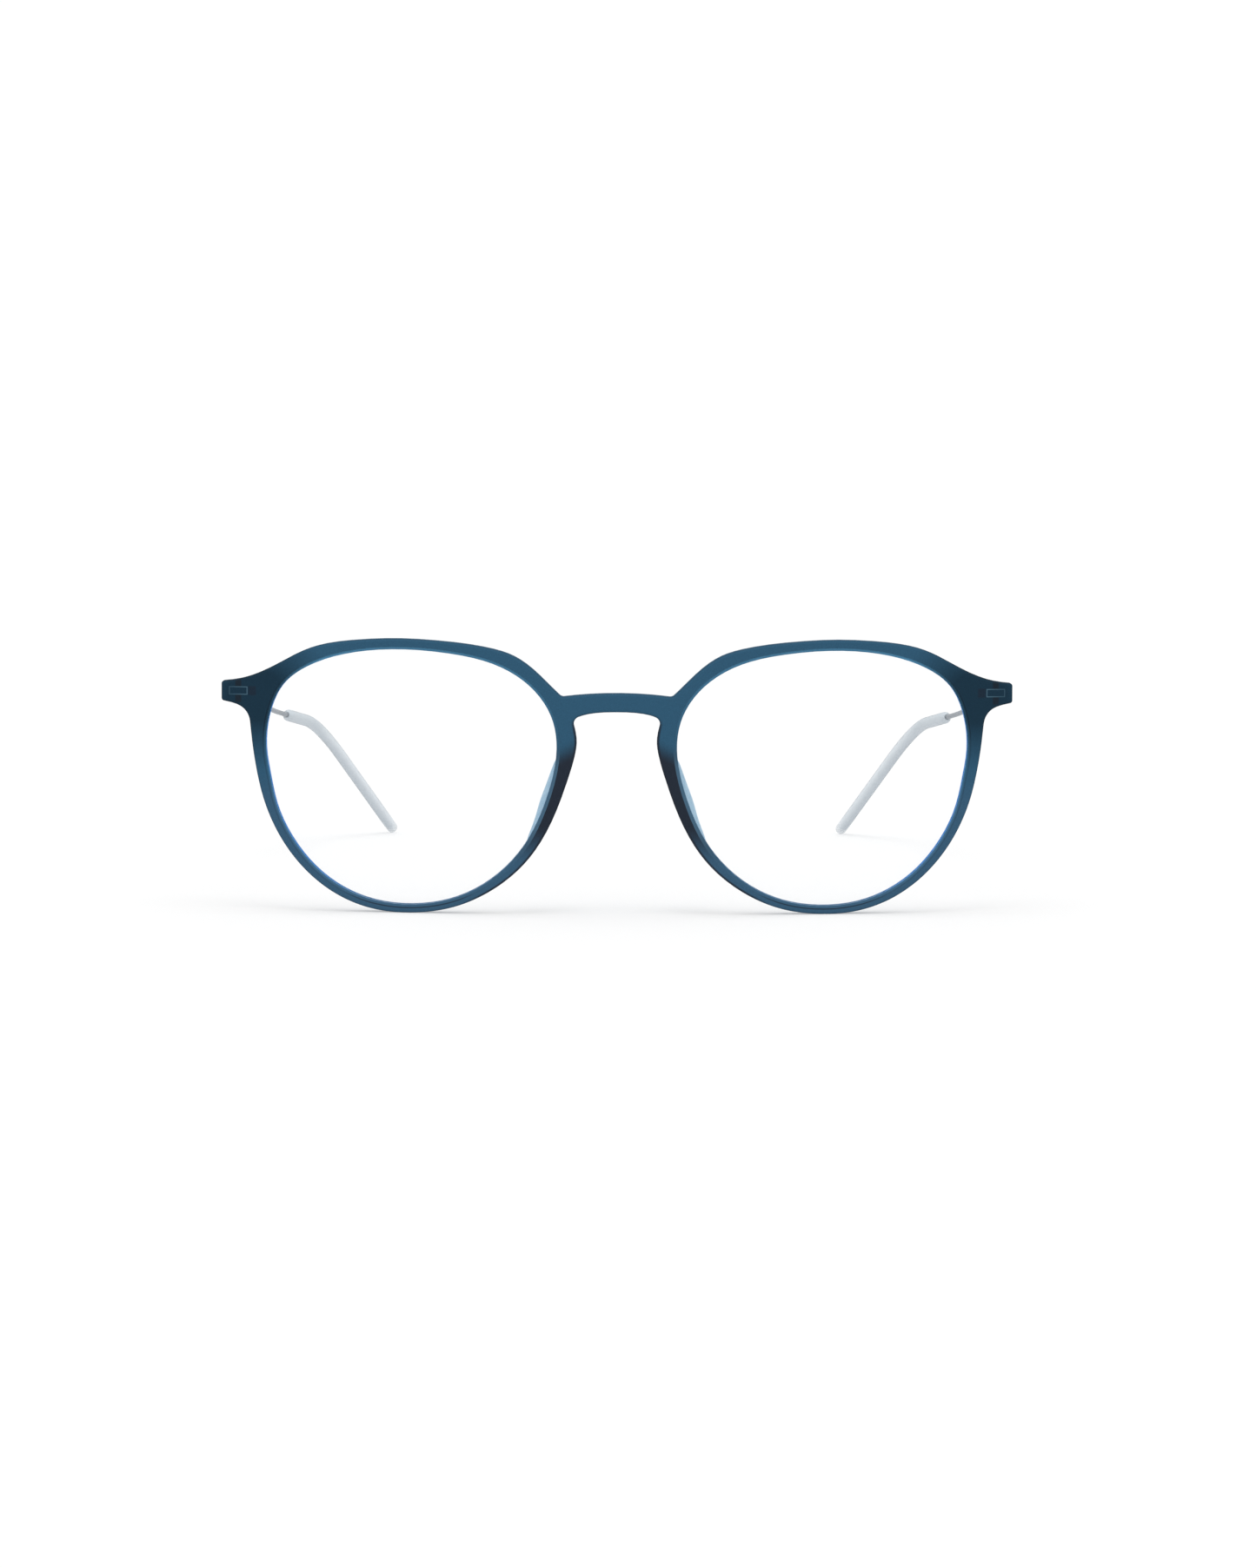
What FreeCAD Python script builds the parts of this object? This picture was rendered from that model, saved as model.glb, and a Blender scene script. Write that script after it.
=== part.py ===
import FreeCAD, Part
import math
import os

import Sketcher

# Round eyeglasses: a moulded front that follows a sphere, two lenses in its grooves, two clip-in
# nose pads, and two wire temples with soft tips, each folding on a pin between a pair of lugs.
# X runs along the front, +Y back towards the ears, +Z up. The glasses stand on z = 0 on the
# bottoms of the rims and the ends of the tips. Pieces are drawn with the foremost point of the
# front at y = 0 and then moved forward by half the overall depth, so the origin is under the middle.

Vector = FreeCAD.Vector
doc = FreeCAD.newDocument("round_eyeglasses")
sheet = doc.addObject("Spreadsheet::Sheet", "sizes")

drivingSizes = {
    # Front, seen from the front
    "opening_width": 49.9,
    "opening_height": 43.75,
    "nose_gap": 20.4,
    "end_reach": 7.9,
    "rim_side": 2.71,
    "rim_top": 1.85,
    "rim_bottom": 1.4,
    "bridge_thickness": 3.2,
    "bridge_inset": 0.8,
    "bridge_sag": 0.62,
    "arch_inset": 2.6,
    "arch_drop": 1.38,
    "end_height": 3.35,
    "bridge_corner_radius": 1.0,
    "arch_corner_radius": 1.25,
    "end_corner_radius": 0.5,
    # Front, seen from above
    "base_radius": 300.0,
    "blank_depth": 24.0,
    "front_thickness": 2.7,
    "outer_edge_radius": 0.45,
    "inner_bevel": 0.6,
    "rear_edge_radius": 0.25,
    "cut_overrun": 1.0,
    # Lenses and their grooves
    "lens_front_cover": 0.85,
    "lens_rear_cover": 0.55,
    "groove_depth": 0.5,
    "lens_clearance": 0.03,
    # Hinges
    "hinge_inset": 2.7,
    "hinge_standoff": 1.5,
    "hinge_drop": 0.4,
    "lug_height": 4.1,
    "lug_radius": 1.75,
    "lug_root_length": 3.2,
    "slot_clearance": 0.15,
    "pin_diameter": 1.0,
    "pin_inset": 0.4,
    "pin_seat_clearance": 0.01,
    "pin_chamfer": 0.12,
    "eye_height": 1.5,
    "eye_radius": 1.6,
    "eye_end_play": 0.08,
    "eye_running_clearance": 0.03,
    "eye_tail_length": 2.4,
    "eye_tail_wall": 0.3,
    "eye_edge_radius": 0.12,
    # Temple wires; insets and drops are measured from the hinge
    "wire_diameter": 0.9,
    "wire_seat_depth": 1.7,
    "wire_seat_rise": 0.1,
    "wire_seat_clearance": 0.01,
    "knee_inset": 0.85,
    "knee_drop": 7.55,
    "knee_radius": 150.0,
    "bend_inset": 5.9,
    "bend_to_tip": 28.5,
    "bend_drop": 12.85,
    "bend_radius": 40.0,
    "tip_inset": 18.85,
    "tip_depth": 141.5,
    # Soft tips
    "sleeve_diameter": 2.25,
    "sleeve_gap": 3.65,
    "sleeve_mouth_length": 2.2,
    "sleeve_mouth_diameter": 1.3,
    "sleeve_clearance": 0.02,
    "sleeve_end_wall": 0.5,
    # Nose pads
    "pad_height": 15.4,
    "pad_drop": 4.0,
    "pad_reach": 7.0,
    "pad_splay": 1.9,
    "pad_thickness": 1.5,
    "pad_rim_inset": 1.25,
    "pad_seat_clearance": 0.02,
    "peg_diameter": 0.9,
    "peg_length": 1.1,
    "peg_spacing": 7.0,
    "peg_clearance": 0.02,
}

for row, (alias, value) in enumerate(drivingSizes.items(), start=1):
    sheet.set(f"A{row}", alias)
    sheet.set(f"B{row}", str(value))
    sheet.setAlias(f"B{row}", alias)
doc.recompute()


def size(alias):
    return float(getattr(sheet, alias))


# How far up the rim's half height, from its middle, the bridge's top and the end's middle are
bridgeTopShare = 0.614
endMiddleShare = 0.6064

# Places on the front, worked out from the driving sizes
lensX = (size("nose_gap") + size("opening_width")) / 2
endX = size("nose_gap") / 2 + size("opening_width") + size("end_reach")
openingZ = size("rim_bottom") + size("opening_height") / 2
rimZ = (size("rim_bottom") + size("opening_height") + size("rim_top")) / 2
bridgeTopZ = rimZ * (1 + bridgeTopShare)
archTopZ = bridgeTopZ - size("bridge_thickness")
endZ = rimZ * (1 + endMiddleShare)
padZ = openingZ - size("pad_drop")
sphereY = size("base_radius")
rearRadius = size("base_radius") - size("front_thickness")

# Lens shape, as shares of half its width and half its height from the middle, anticlockwise
# from the temple side
openingShares = [
    (0.990, 0.085), (1.005, 0.292), (0.976, 0.502), (0.886, 0.715), (0.720, 0.858), (0.461, 0.959),
    (0.121, 1.000), (-0.261, 0.971), (-0.598, 0.876), (-0.836, 0.697), (-0.965, 0.472),
    (-0.998, 0.247), (-0.977, 0.045), (-0.910, -0.214), (-0.801, -0.479), (-0.598, -0.749),
    (-0.304, -0.941), (-0.002, -1.000), (0.320, -0.950), (0.610, -0.769), (0.812, -0.509),
    (0.928, -0.239),
]

# Outside of the right rim, as shares of its half width and half height from the rim's middle:
# over the top from the bridge to the end piece, and back underneath to the bridge
rimTopShares = [
    (-0.835, 0.696), (-0.726, 0.812), (-0.616, 0.890), (-0.507, 0.930), (-0.178, 0.985),
    (0.097, 1.000), (0.318, 0.989), (0.485, 0.967), (0.596, 0.938), (0.707, 0.887),
    (0.819, 0.817), (0.931, 0.751), (1.044, 0.703),
    (1.110, 0.687),
]
rimUnderShares = [
    (1.101, 0.512), (1.056, 0.486), (1.015, 0.421), (1.005, 0.357), (0.993, 0.227),
    (0.967, 0.034), (0.928, -0.161), (0.837, -0.420), (0.679, -0.677), (0.472, -0.870),
    (0.243, -0.975), (-0.005, -1.000), (-0.257, -0.957), (-0.503, -0.826), (-0.726, -0.598),
    (-0.891, -0.267), (-0.971, -0.009), (-1.017, 0.185), (-1.024, 0.249), (-1.020, 0.314),
]
# Underside of the bridge arch: share of its half span, share of its drop
archShares = [(0.40, 0.07), (0.60, 0.21), (0.80, 0.48)]
# Nose pad, from the bottom up: share of its height from the middle, of its reach, of its thickness
padShares = [
    (-0.50, 0.30, 0.45), (-0.39, 0.65, 0.80), (-0.22, 0.83, 0.95), (-0.04, 1.00, 1.00),
    (0.18, 0.94, 0.95), (0.37, 0.76, 0.85), (0.50, 0.30, 0.45),
]
padFrontShare = 0.36
# Where the temple's upper bend is, between the hinge and the lower bend
kneeShare = 0.595


def rearY(x, z):
    return sphereY - math.sqrt(rearRadius ** 2 - x ** 2 - (z - openingZ) ** 2)


# Hinge centre, behind the end piece, and where the wire is held in the eye's tail
hingeX = endX - size("hinge_inset")
hingeZ = endZ - size("hinge_drop")
hingePoint = Vector(hingeX, rearY(hingeX, hingeZ) + size("hinge_standoff"), hingeZ)
eyeTailWidth = size("wire_diameter") + 2 * size("eye_tail_wall")
lugBottom = hingePoint - Vector(0, 0, size("lug_height") / 2)
pinFoot = lugBottom + Vector(0, 0, size("pin_inset"))

# Overall depth, halved to centre the glasses on the origin
frontY = -(size("tip_depth") + size("sleeve_diameter") / 2) / 2


def curveThrough(points, closed=False):
    curve = Part.BSplineCurve()
    curve.interpolate(Points=points, PeriodicFlag=closed)
    return curve


def originPlane(body, role):
    for feature in body.Origin.OriginFeatures:
        if feature.Role == role:
            return feature
    raise ValueError(role)


def addSketch(body, name, role, curves, offset=None):
    sketch = body.newObject("Sketcher::SketchObject", name)
    sketch.AttachmentSupport = [(originPlane(body, role), "")]
    sketch.MapMode = "FlatFace"
    if offset is not None:
        sketch.AttachmentOffset = FreeCAD.Placement(offset, FreeCAD.Rotation())
    sketch.addGeometry(curves, False)
    return sketch


def addPad(body, name, sketch, lengthExpression, backwards=False):
    pad = body.newObject("PartDesign::Pad", name)
    pad.Profile = sketch
    pad.setExpression("Length", lengthExpression)
    pad.Reversed = backwards
    doc.recompute()
    return pad


def addSphere(name, radiusExpression, centre):
    sphere = doc.addObject("Part::Sphere", name)
    sphere.setExpression("Radius", radiusExpression)
    sphere.Placement.Base = centre
    return sphere


def addCylinder(name, radiusExpression, heightExpression, base, direction):
    cylinder = doc.addObject("Part::Cylinder", name)
    cylinder.setExpression("Radius", radiusExpression)
    cylinder.setExpression("Height", heightExpression)
    cylinder.Placement = FreeCAD.Placement(base, FreeCAD.Rotation(Vector(0, 0, 1), direction))
    return cylinder


def addBox(name, corner, lengthExpression, widthExpression, heightExpression):
    box = doc.addObject("Part::Box", name)
    box.setExpression("Length", lengthExpression)
    box.setExpression("Width", widthExpression)
    box.setExpression("Height", heightExpression)
    box.Placement.Base = corner
    return box


def cutBy(name, base, tool):
    cut = doc.addObject("Part::Cut", name)
    cut.Base = base
    cut.Tool = tool
    return cut


def commonOf(name, base, tool):
    common = doc.addObject("Part::Common", name)
    common.Base = base
    common.Tool = tool
    return common


def fuseAll(name, shapes):
    fusion = doc.addObject("Part::MultiFuse", name)
    fusion.Shapes = shapes
    return fusion


def mirrored(name, source):
    mirror = doc.addObject("Part::Mirroring", name)
    mirror.Source = source
    mirror.Normal = Vector(1, 0, 0)
    mirror.Base = Vector(0, 0, 0)
    return mirror


# Front outline: one half is drawn and mirrored, so both rims are alike
def rimPoint(xShare, zShare):
    halfWidth = size("opening_width") / 2 + size("rim_side")
    return Vector(lensX + xShare * halfWidth, rimZ + zShare * rimZ, 0)


def openingCurve(side, growth=0.0):
    halfWidth = size("opening_width") / 2 + growth
    halfHeight = size("opening_height") / 2 + growth
    points = []
    for xShare, zShare in openingShares:
        points.append(Vector(side * (lensX + xShare * halfWidth), openingZ + zShare * halfHeight, 0))
    return curveThrough(points, closed=True)


def flipped(points):
    return [Vector(-point.x, point.y, point.z) for point in reversed(points)]


bridgeCorner = Vector(size("nose_gap") / 2 - size("bridge_inset"), bridgeTopZ - size("bridge_sag"), 0)
archCorner = Vector(size("nose_gap") / 2 - size("arch_inset"), archTopZ - size("arch_drop"), 0)
endTop = Vector(endX, endZ + size("end_height") / 2, 0)
endBottom = Vector(endX, endZ - size("end_height") / 2, 0)


def outlineCurves():
    top = [bridgeCorner] + [rimPoint(*share) for share in rimTopShares] + [endTop]
    under = [endBottom] + [rimPoint(*share) for share in rimUnderShares] + [archCorner]
    halfArch = [archCorner]
    for xShare, dropShare in reversed(archShares):
        halfArch.append(Vector(xShare * archCorner.x, archTopZ - dropShare * size("arch_drop"), 0))
    arch = halfArch + [Vector(0, archTopZ, 0)] + flipped(halfArch)
    leftBridgeCorner, leftEndBottom, leftEndTop = flipped([endTop, endBottom, bridgeCorner])
    return [
        Part.Arc(leftBridgeCorner, Vector(0, bridgeTopZ, 0), bridgeCorner),
        curveThrough(top),
        Part.LineSegment(endTop, endBottom),
        curveThrough(under),
        curveThrough(arch),
        curveThrough(flipped(under)),
        Part.LineSegment(leftEndBottom, leftEndTop),
        curveThrough(flipped(top)),
    ]


# Edges that run back from a corner of the outline, given by its right-hand point
def cornerEdges(shape, corner):
    names = []
    for number, edge in enumerate(shape.Edges, start=1):
        box = edge.BoundBox
        awayFromCorner = math.hypot(abs(box.Center.x) - corner.x, box.Center.z - corner.y)
        runsBack = box.YLength > max(box.XLength, box.ZLength)
        if runsBack and awayFromCorner < size("rim_bottom") / 2:
            names.append(f"Edge{number}")
    return names


def frontBlank():
    body = doc.addObject("PartDesign::Body", "front_blank")
    curves = outlineCurves() + [openingCurve(1), openingCurve(-1)]
    sketch = addSketch(body, "front_outline", "XZ_Plane", curves)
    last = addPad(body, "front_pad", sketch, "sizes.blank_depth", backwards=True)
    corners = [
        ("bridge_corner_radius", bridgeCorner),
        ("arch_corner_radius", archCorner),
        ("end_corner_radius", endTop),
        ("end_corner_radius", endBottom),
    ]
    for number, (radius, corner) in enumerate(corners, start=1):
        fillet = body.newObject("PartDesign::Fillet", f"front_corner_{number}")
        fillet.Base = (last, cornerEdges(last.Shape, corner))
        fillet.setExpression("Radius", "sizes." + radius)
        doc.recompute()
        last = fillet
    body.Tip = last
    doc.recompute()
    return body


# Lens shape between two spheres, which is also the shape of the groove
def lensShape(name, growth, frontExpression, rearExpression):
    centre = Vector(0, sphereY, openingZ)
    outer = addSphere(name + "_front", frontExpression, centre)
    inner = addSphere(name + "_rear", rearExpression, centre)
    body = doc.addObject("PartDesign::Body", name + "_blank")
    sketch = addSketch(body, name + "_outline", "XZ_Plane", [openingCurve(1, growth)])
    addPad(body, name + "_pad", sketch, "sizes.blank_depth", backwards=True)
    trimmed = commonOf(name + "_trimmed", body, outer)
    return cutBy(name + "_solid", trimmed, inner)


def rightLens():
    return lensShape(
        "lens_right", size("groove_depth") - size("lens_clearance"),
        "sizes.base_radius - sizes.lens_front_cover",
        "sizes.base_radius - sizes.front_thickness + sizes.lens_rear_cover",
    )


def rightGroove():
    return lensShape(
        "groove", size("groove_depth"),
        "sizes.base_radius - sizes.lens_front_cover + sizes.lens_clearance",
        "sizes.base_radius - sizes.front_thickness + sizes.lens_rear_cover - sizes.lens_clearance",
    )


# Front: the blank cut to a shell of a sphere and grooved for the lenses, with its edges eased
def sphereEdges(shape, radius, opening):
    found = []
    for number, edge in enumerate(shape.Edges, start=1):
        for face in shape.ancestorsOfType(edge, Part.Face):
            onSphere = isinstance(face.Surface, Part.Sphere) and math.isclose(face.Surface.Radius, radius)
            if onSphere and edge.isClosed() == opening:
                found.append(number)
    return found


def frontShell(blank):
    centre = Vector(0, sphereY, openingZ)
    outer = addSphere("front_outside", "sizes.base_radius", centre)
    inner = addSphere("front_inside", "sizes.base_radius - sizes.front_thickness", centre)
    shell = cutBy("front_shell", commonOf("front_trimmed", blank, outer), inner)
    groove = rightGroove()
    grooves = fuseAll("grooves", [groove, mirrored("groove_left", groove)])
    grooved = cutBy("front_grooved", shell, grooves)
    doc.recompute()
    rounded = doc.addObject("Part::Fillet", "front_rounded")
    rounded.Base = grooved
    outsideEdges = sphereEdges(grooved.Shape, size("base_radius"), False)
    outsideEdges += sphereEdges(grooved.Shape, rearRadius, False)
    openingEdges = sphereEdges(grooved.Shape, rearRadius, True)
    outsideRadius = size("outer_edge_radius")
    openingRadius = size("rear_edge_radius")
    roundings = [(number, outsideRadius, outsideRadius) for number in outsideEdges]
    roundings += [(number, openingRadius, openingRadius) for number in openingEdges]
    rounded.Edges = roundings
    doc.recompute()
    bevelled = doc.addObject("Part::Chamfer", "front_bevelled")
    bevelled.Base = rounded
    bevel = size("inner_bevel")
    frontEdges = sphereEdges(rounded.Shape, size("base_radius"), True)
    bevelled.Edges = [(number, bevel, bevel) for number in frontEdges]
    doc.recompute()
    return bevelled


# Hinge lugs: a block on the back of the end piece, rounded about the pin, with a slot for the eye
def lugBlock():
    rootCorner = lugBottom - Vector(size("lug_root_length"), size("lug_root_length"), 0)
    root = addBox("lug_root", rootCorner, "sizes.lug_root_length + sizes.lug_radius",
                  "sizes.lug_root_length", "sizes.lug_height")
    barrel = addCylinder("lug_barrel", "sizes.lug_radius", "sizes.lug_height", lugBottom, Vector(0, 0, 1))
    return fuseAll("lug_block", [root, barrel])


def eyeSlot():
    corner = hingePoint - Vector(
        size("lug_root_length") + size("cut_overrun"),
        size("eye_radius") + size("slot_clearance"),
        size("eye_height") / 2 + size("eye_end_play"),
    )
    return addBox(
        "eye_slot", corner,
        "sizes.lug_root_length + sizes.hinge_inset + 2 * sizes.cut_overrun",
        "sizes.eye_radius + sizes.slot_clearance + sizes.lug_radius + sizes.cut_overrun",
        "sizes.eye_height + 2 * sizes.eye_end_play",
    )


def pinHole():
    return addCylinder(
        "pin_hole", "sizes.pin_diameter / 2 + sizes.pin_seat_clearance",
        "sizes.cut_overrun + sizes.lug_height - 2 * sizes.pin_inset + sizes.pin_seat_clearance",
        pinFoot - Vector(0, 0, size("cut_overrun")), Vector(0, 0, 1),
    )


def nasalEdgeX(z):
    reach = Part.LineSegment(Vector(0, z, 0), Vector(lensX, z, 0))
    crossings = openingCurve(1).intersectCC(reach)
    return min(point.X for point in crossings)


# Where the pads' pegs go into the back of the rim
def pegPlaces():
    places = []
    for end in (-1, 1):
        z = padZ + end * size("peg_spacing") / 2
        x = nasalEdgeX(z) - size("pad_rim_inset")
        places.append(Vector(x, rearY(x, z), z))
    return places


def pegHoles():
    holes = []
    for number, place in enumerate(pegPlaces(), start=1):
        holes.append(addCylinder(
            f"peg_hole_{number}", "sizes.peg_diameter / 2 + sizes.peg_clearance",
            "sizes.peg_length + sizes.peg_clearance + sizes.cut_overrun",
            place + Vector(0, size("cut_overrun"), 0), Vector(0, -1, 0),
        ))
    return holes


def frontFrame(blank):
    lug = commonOf("lug_trimmed", lugBlock(), blank)
    rightHoles = fuseAll("right_holes", [eyeSlot(), pinHole()] + pegHoles())
    allHoles = fuseAll("all_holes", [rightHoles, mirrored("left_holes", rightHoles)])
    withLugs = fuseAll("front_with_lugs", [frontShell(blank), lug, mirrored("left_lug", lug)])
    return cutBy("front_frame", withLugs, allHoles)


# Nose pad: a lofted wing on the back of the rim, with two pegs
def padLoft():
    body = doc.addObject("PartDesign::Body", "nose_pad_blank")
    sketches = []
    for number, (heightShare, reachShare, thicknessShare) in enumerate(padShares, start=1):
        z = padZ + heightShare * size("pad_height")
        x = nasalEdgeX(z) - size("pad_rim_inset")
        reach = reachShare * size("pad_reach")
        splay = reachShare * size("pad_splay")
        seat = Vector(x, rearY(x, z), 0)
        centre = seat + Vector(padFrontShare * splay, padFrontShare * reach, 0)
        tip = seat + Vector(splay, reach, 0)
        along = tip - centre
        across = Vector(-along.y, along.x, 0).normalize() * (thicknessShare * size("pad_thickness") / 2)
        section = Part.Ellipse(tip, centre + across, centre)
        sketches.append(addSketch(body, f"pad_section_{number}", "XY_Plane", [section], Vector(0, 0, z)))
    doc.recompute()
    loft = body.newObject("PartDesign::AdditiveLoft", "pad_loft")
    loft.Profile = sketches[0]
    loft.Sections = sketches[1:]
    doc.recompute()
    return body


def rightPad():
    backing = addSphere(
        "pad_backing", "sizes.base_radius - sizes.front_thickness - sizes.pad_seat_clearance",
        Vector(0, sphereY, openingZ),
    )
    pieces = [commonOf("pad_wing", padLoft(), backing)]
    for number, place in enumerate(pegPlaces(), start=1):
        pieces.append(addCylinder(
            f"peg_{number}", "sizes.peg_diameter / 2", "sizes.peg_length + sizes.peg_diameter",
            place + Vector(0, size("peg_diameter"), 0), Vector(0, -1, 0),
        ))
    return fuseAll("nose_pad_right_solid", pieces)


# Hinge pin, put in from below
def rightPin():
    body = doc.addObject("PartDesign::Body", "hinge_pin_blank")
    circle = Part.Circle(Vector(hingePoint.x, hingePoint.y, 0), Vector(0, 0, 1), size("pin_diameter") / 2)
    sketch = addSketch(body, "pin_circle", "XY_Plane", [circle], Vector(0, 0, pinFoot.z))
    pad = addPad(body, "pin_pad", sketch, "sizes.lug_height - 2 * sizes.pin_inset")
    chamfer = body.newObject("PartDesign::Chamfer", "pin_chamfer")
    ends = [f"Edge{number}" for number, edge in enumerate(pad.Shape.Edges, start=1) if edge.isClosed()]
    chamfer.Base = (pad, ends)
    chamfer.setExpression("Size", "sizes.pin_chamfer")
    body.Tip = chamfer
    doc.recompute()
    return body


# Hinge eye: a ring on the pin, squared at the outer front as a heel that stops against the end
# piece, with a tail that holds the wire
def eyeCurves():
    radius = size("eye_radius")
    centre = Vector(hingePoint.x, hingePoint.y, 0)
    tailInner = radius - eyeTailWidth
    tailRoot = centre + Vector(tailInner, math.sqrt(radius ** 2 - tailInner ** 2), 0)
    tailInnerEnd = centre + Vector(tailInner, size("eye_tail_length"), 0)
    tailOuterEnd = centre + Vector(radius, size("eye_tail_length"), 0)
    heel = centre + Vector(radius, -radius, 0)
    ringFront = centre + Vector(0, -radius, 0)
    ringInner = centre + Vector(-radius, 0, 0)
    bore = Part.Circle(centre, Vector(0, 0, 1), size("pin_diameter") / 2 + size("eye_running_clearance"))
    return [
        Part.Arc(tailRoot, ringInner, ringFront),
        Part.LineSegment(ringFront, heel),
        Part.LineSegment(heel, tailOuterEnd),
        Part.LineSegment(tailOuterEnd, tailInnerEnd),
        Part.LineSegment(tailInnerEnd, tailRoot),
        bore,
    ]


def rightEye(path):
    body = doc.addObject("PartDesign::Body", "hinge_eye_blank")
    bottom = Vector(0, 0, hingePoint.z - size("eye_height") / 2)
    sketch = addSketch(body, "eye_outline", "XY_Plane", eyeCurves(), bottom)
    pad = addPad(body, "eye_pad", sketch, "sizes.eye_height")
    fillet = body.newObject("PartDesign::Fillet", "eye_edges")
    rims = []
    for number, edge in enumerate(pad.Shape.Edges, start=1):
        flat = edge.BoundBox.ZLength < size("eye_edge_radius")
        if flat and not edge.isClosed():
            rims.append(f"Edge{number}")
    fillet.Base = (pad, rims)
    fillet.setExpression("Radius", "sizes.eye_edge_radius")
    body.Tip = fillet
    doc.recompute()
    seat = sweptTube("wire_seat", path, "sizes.wire_diameter / 2 + sizes.wire_seat_clearance")
    return cutBy("hinge_eye_right", body, seat)


# Temple route: straight runs joined by tangent arcs
def tangentLength(before, corner, after, radius):
    turn = math.pi - (before - corner).getAngle(after - corner)
    return radius * math.tan(turn / 2)


def routeWire(points, radii):
    edges = []
    last = points[0]
    for before, corner, after, radius in zip(points, points[1:], points[2:], radii):
        backward = (before - corner).normalize()
        forward = (after - corner).normalize()
        tangent = tangentLength(before, corner, after, radius)
        arcStart = corner + backward * tangent
        arcEnd = corner + forward * tangent
        inward = (backward + forward).normalize()
        arcMiddle = corner + inward * (math.hypot(radius, tangent) - radius)
        edges.append(Part.LineSegment(last, arcStart).toShape())
        edges.append(Part.Arc(arcStart, arcMiddle, arcEnd).toShape())
        last = arcEnd
    edges.append(Part.LineSegment(last, points[-1]).toShape())
    return Part.Wire(edges)


def sweptTube(name, path, radiusExpression):
    spine = doc.addObject("Part::Feature", name + "_path")
    spine.Shape = path
    start = path.Edges[0].Vertexes[0].Point
    direction = path.Edges[0].tangentAt(path.Edges[0].FirstParameter)
    ring = doc.addObject("Part::Circle", name + "_ring")
    ring.setExpression("Radius", radiusExpression)
    ring.Placement = FreeCAD.Placement(start, FreeCAD.Rotation(Vector(0, 0, 1), direction))
    tube = doc.addObject("Part::Sweep", name)
    tube.Sections = [ring]
    tube.Spine = (spine, [f"Edge{number}" for number in range(1, len(path.Edges) + 1)])
    tube.Solid = True
    return tube


def towards(fromPoint, toPoint, length):
    return fromPoint + (toPoint - fromPoint).normalize() * length


bendY = size("tip_depth") - size("bend_to_tip")
kneeY = hingePoint.y + kneeShare * (bendY - hingePoint.y)
wireStart = hingePoint + Vector(
    size("eye_radius") - eyeTailWidth / 2,
    size("eye_tail_length") - size("wire_seat_depth"),
    size("wire_seat_rise"),
)
kneePoint = Vector(hingePoint.x - size("knee_inset"), kneeY, hingePoint.z - size("knee_drop"))
bendPoint = Vector(hingePoint.x - size("bend_inset"), bendY, hingePoint.z - size("bend_drop"))
tipPoint = Vector(hingePoint.x - size("tip_inset"), size("tip_depth"), size("sleeve_diameter") / 2)
kneeTangent = tangentLength(wireStart, kneePoint, bendPoint, size("knee_radius"))
mouthPoint = towards(kneePoint, bendPoint, kneeTangent + size("sleeve_gap"))


def templePath():
    wireEnd = towards(tipPoint, bendPoint, size("sleeve_end_wall") + size("sleeve_clearance"))
    corners = [wireStart, kneePoint, bendPoint, wireEnd]
    return routeWire(corners, [size("knee_radius"), size("bend_radius")])


# Soft tip: a tapered mouth, a tube and a round end, bored for the wire
def rightSleeve():
    tubeStart = towards(mouthPoint, bendPoint, size("sleeve_mouth_length"))
    tubePath = routeWire([tubeStart, bendPoint, tipPoint], [size("bend_radius")])
    tube = sweptTube("sleeve_tube", tubePath, "sizes.sleeve_diameter / 2")
    mouth = doc.addObject("Part::Cone", "sleeve_mouth")
    mouth.setExpression("Radius1", "sizes.sleeve_mouth_diameter / 2")
    mouth.setExpression("Radius2", "sizes.sleeve_diameter / 2")
    mouth.setExpression("Height", "sizes.sleeve_mouth_length")
    mouthTurn = FreeCAD.Rotation(Vector(0, 0, 1), bendPoint - mouthPoint)
    mouth.Placement = FreeCAD.Placement(mouthPoint, mouthTurn)
    end = addSphere("sleeve_end", "sizes.sleeve_diameter / 2", tipPoint)
    outside = fuseAll("sleeve_outside", [tube, mouth, end])
    boreStart = towards(mouthPoint, kneePoint, size("cut_overrun"))
    boreEnd = towards(tipPoint, bendPoint, size("sleeve_end_wall"))
    borePath = routeWire([boreStart, bendPoint, boreEnd], [size("bend_radius")])
    bore = sweptTube("sleeve_bore", borePath, "sizes.wire_diameter / 2 + sizes.sleeve_clearance")
    return cutBy("temple_tip_right", outside, bore)


# Build the right-hand pieces, mirror each for the left, and write them all
wirePath = templePath()
rightPieces = {
    "lens": rightLens(),
    "nose_pad": rightPad(),
    "hinge_pin": rightPin(),
    "hinge_eye": rightEye(wirePath),
    "temple_wire": sweptTube("temple_wire_right", wirePath, "sizes.wire_diameter / 2"),
    "temple_tip": rightSleeve(),
}
nodes = {"front_frame": frontFrame(frontBlank())}
for name, source in rightPieces.items():
    nodes[name + "_right"] = source
for piece in nodes.values():
    piece.Placement = FreeCAD.Placement(Vector(0, frontY, 0), FreeCAD.Rotation())
for name, source in rightPieces.items():
    nodes[name + "_left"] = mirrored(name + "_left", source)
doc.recompute()

for item in doc.Objects:
    if "Invalid" in item.State or "Error" in item.State:
        raise RuntimeError(f"{item.Label} failed: {item.State}")
for name, piece in nodes.items():
    piece.Label = name
    if not piece.Shape.isValid() or len(piece.Shape.Solids) != 1:
        raise RuntimeError(f"{name} has no sound shape")

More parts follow.
